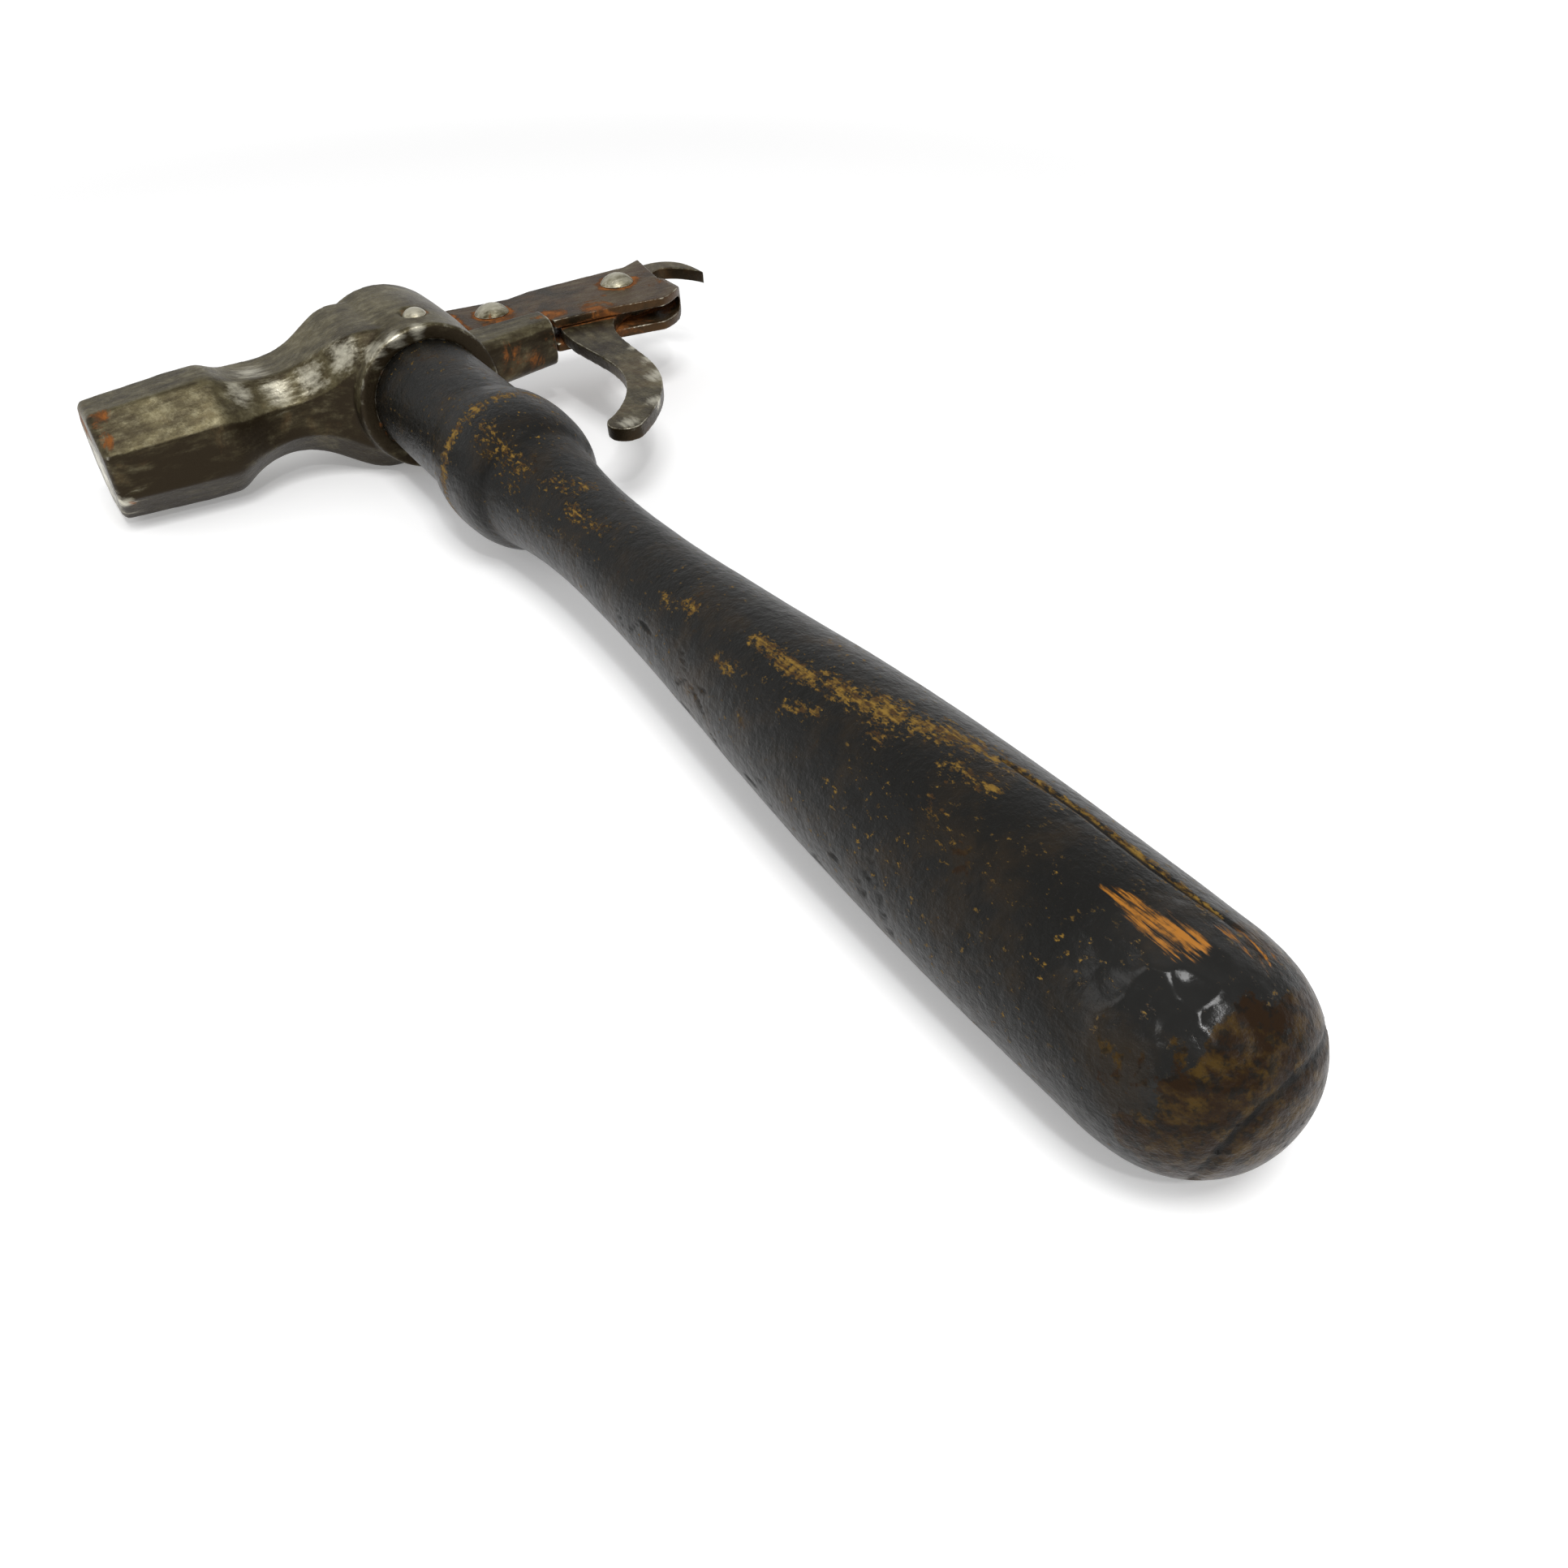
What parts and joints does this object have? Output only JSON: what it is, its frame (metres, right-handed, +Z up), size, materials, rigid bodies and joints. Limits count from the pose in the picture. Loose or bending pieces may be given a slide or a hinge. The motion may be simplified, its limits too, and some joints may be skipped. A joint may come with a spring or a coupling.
{
  "type": "tack hammer",
  "caption": "Tack hammer with an octagonal poll, a turned handle with a bead, and a riveted trigger-worked tack puller on the head.",
  "frame": {"origin": "centre of the striking face", "axes": "+X along the head from the striking face to the puller, +Y along the handle from the butt to the head, +Z up from the table with the hammer lying on its side"},
  "size_m": [0.1379, 0.2567, 0.0314],
  "materials": {
    "head_iron": "aged, worn bright on the edges, light rust",
    "painted_wood": "worn black paint with bare golden wood showing",
    "wedge_wood": "bare hardwood",
    "strap_steel": "aged, dull",
    "rivet_steel": "worn bright on the domes",
    "lever_steel": "aged, worn bright on the trigger"
  },
  "bodies": {
    "hammer": {"head": "head_iron", "handle": "painted_wood", "handle_wedge": "wedge_wood", "cheek_pin": "rivet_steel", "jaw_strap": "strap_steel", "tang_rivet": "rivet_steel", "pivot_rivet": "rivet_steel"},
    "lever": {"jaw_lever": "lever_steel"}
  },
  "joints": [
    {"name": "lever_pivot", "type": "hinge", "parent": "hammer", "child": "lever", "pos_m": [0.1164, 0.009, 0], "axis": [0, 0, 1], "range_deg": [-5, 38]}
  ]
}
